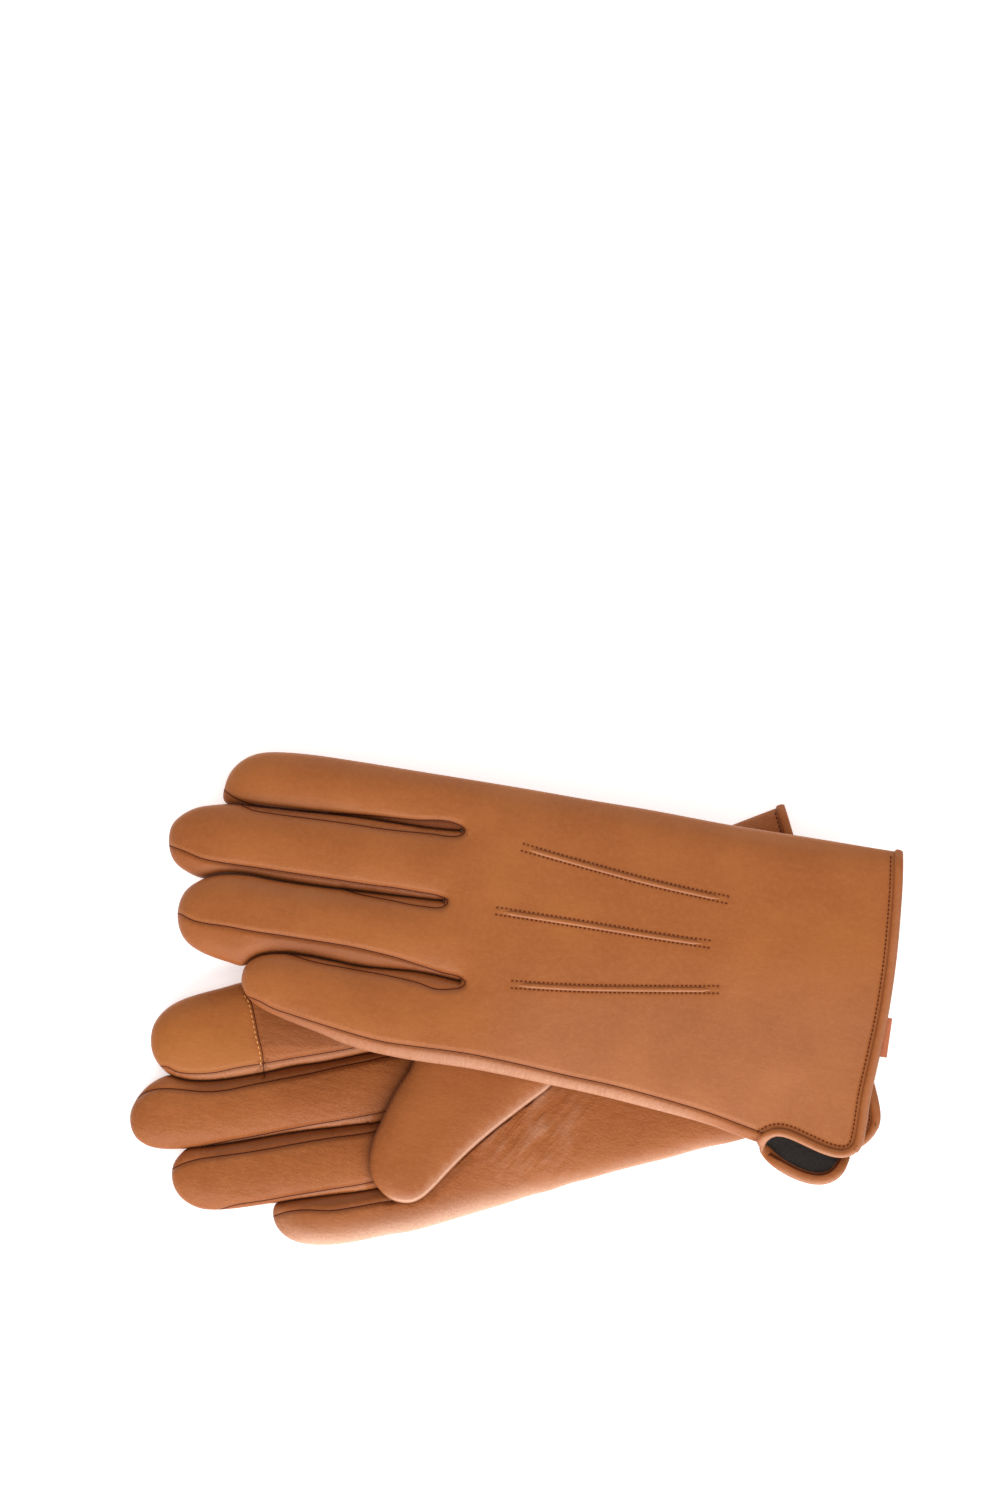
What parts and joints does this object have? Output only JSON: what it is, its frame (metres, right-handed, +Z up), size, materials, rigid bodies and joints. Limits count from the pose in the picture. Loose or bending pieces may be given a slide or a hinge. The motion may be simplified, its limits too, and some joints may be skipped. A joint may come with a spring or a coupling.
{
  "type": "touchscreen gloves",
  "caption": "Pair of lined leather gloves with conductive index fingertips, one palm up and one back up, with bound cuffs, cuff slits and raised points on the back.",
  "frame": {"origin": "on the table under the crossing of the two gloves, at the underside of the right glove's back", "axes": "+Z up from the table; the fingers point towards -X, the cuffs towards +X, and the left glove's index side is towards +Y"},
  "size_m": [0.2553, 0.1669, 0.0327],
  "materials": {
    "leather": "smooth nappa leather, soft sheen",
    "side_leather": "smooth nappa leather, gathered",
    "binding_leather": "smooth nappa leather",
    "touch_leather": "conductive leather, matt",
    "lining": "dark brushed knit",
    "label": "woven satin tape"
  },
  "bodies": {
    "left_hand": {"left_back_panel": "leather", "left_palm_panel": "leather", "left_hand_sides": "side_leather", "left_hand_lining": "lining", "left_cuff_binding": "binding_leather", "left_vent_binding": "binding_leather", "left_back_points": "leather", "left_label": "label"},
    "left_index": {"left_index_back": "leather", "left_index_palm": "leather", "left_index_touch_pad": "touch_leather", "left_index_forks": "side_leather", "left_index_lining": "lining"},
    "left_middle": {"left_middle_back": "leather", "left_middle_palm": "leather", "left_middle_forks": "side_leather", "left_middle_lining": "lining"},
    "left_ring": {"left_ring_back": "leather", "left_ring_palm": "leather", "left_ring_forks": "side_leather", "left_ring_lining": "lining"},
    "left_little": {"left_little_back": "leather", "left_little_palm": "leather", "left_little_forks": "side_leather", "left_little_lining": "lining"},
    "left_thumb": {"left_thumb_back": "leather", "left_thumb_front": "leather", "left_thumb_sides": "side_leather", "left_thumb_lining": "lining"},
    "right_hand": {"right_back_panel": "leather", "right_palm_panel": "leather", "right_hand_sides": "side_leather", "right_hand_lining": "lining", "right_cuff_binding": "binding_leather", "right_vent_binding": "binding_leather", "right_back_points": "leather"},
    "right_index": {"right_index_back": "leather", "right_index_touch_pad": "touch_leather", "right_index_forks": "side_leather", "right_index_lining": "lining"},
    "right_middle": {"right_middle_back": "leather", "right_middle_palm": "leather", "right_middle_forks": "side_leather", "right_middle_lining": "lining"},
    "right_ring": {"right_ring_back": "leather", "right_ring_palm": "leather", "right_ring_forks": "side_leather", "right_ring_lining": "lining"},
    "right_little": {"right_little_back": "leather", "right_little_palm": "leather", "right_little_forks": "side_leather", "right_little_lining": "lining"},
    "right_thumb": {"right_thumb_back": "leather", "right_thumb_front": "leather", "right_thumb_sides": "side_leather", "right_thumb_lining": "lining"}
  },
  "joints": [
    {"name": "left_glove_lift", "type": "slide", "parent": "right_hand", "child": "left_hand", "axis": [0, 0, 1], "range_m": [0, 0.15]},
    {"name": "left_index_bend", "type": "hinge", "parent": "left_hand", "child": "left_index", "pos_m": [-0.01878, 0.06395, 0.032], "axis": [0.1399, 0.9902, 0], "range_deg": [0, 60]},
    {"name": "left_middle_bend", "type": "hinge", "parent": "left_hand", "child": "left_middle", "pos_m": [-0.02364, 0.04403, 0.032], "axis": [0.1293, 0.9916, 0], "range_deg": [0, 60]},
    {"name": "left_ring_bend", "type": "hinge", "parent": "left_hand", "child": "left_ring", "pos_m": [-0.02702, 0.0203, 0.032], "axis": [0.1257, 0.9921, 0], "range_deg": [0, 60]},
    {"name": "left_little_bend", "type": "hinge", "parent": "left_hand", "child": "left_little", "pos_m": [-0.02299, -0.00779, 0.032], "axis": [0.1814, 0.9834, 0], "range_deg": [0, 60]},
    {"name": "right_index_bend", "type": "hinge", "parent": "right_hand", "child": "right_index", "pos_m": [-0.09344, -0.0099, 0.011], "axis": [-0.1493, 0.9888, 0], "range_deg": [0, 70]},
    {"name": "right_middle_bend", "type": "hinge", "parent": "right_hand", "child": "right_middle", "pos_m": [-0.04754, -0.02911, 0.011], "axis": [-0.1538, 0.9881, 0], "range_deg": [0, 70]},
    {"name": "right_ring_bend", "type": "hinge", "parent": "right_hand", "child": "right_ring", "pos_m": [-0.04968, -0.05063, 0.011], "axis": [-0.1764, 0.9843, 0], "range_deg": [0, 70]},
    {"name": "right_little_bend", "type": "hinge", "parent": "right_hand", "child": "right_little", "pos_m": [-0.04674, -0.06965, 0.011], "axis": [-0.2152, 0.9766, 0], "range_deg": [0, 70]},
    {"name": "left_thumb_open", "type": "hinge", "parent": "left_hand", "child": "left_thumb", "pos_m": [0.05287, 0.0564, 0.0207], "axis": [0.9836, -0.1804, 0], "range_deg": [0, 85]},
    {"name": "right_thumb_open", "type": "hinge", "parent": "right_hand", "child": "right_thumb", "pos_m": [0.00368, 0.0155, 0.0113], "axis": [-0.9962, 0.087, 0], "range_deg": [0, 85]}
  ],
  "couplings": [
    {"joint": "right_thumb_open", "follows": "left_glove_lift", "rad_per_m": 9.8901},
    {"joint": "left_thumb_open", "follows": "left_glove_lift", "rad_per_m": 9.8901}
  ]
}
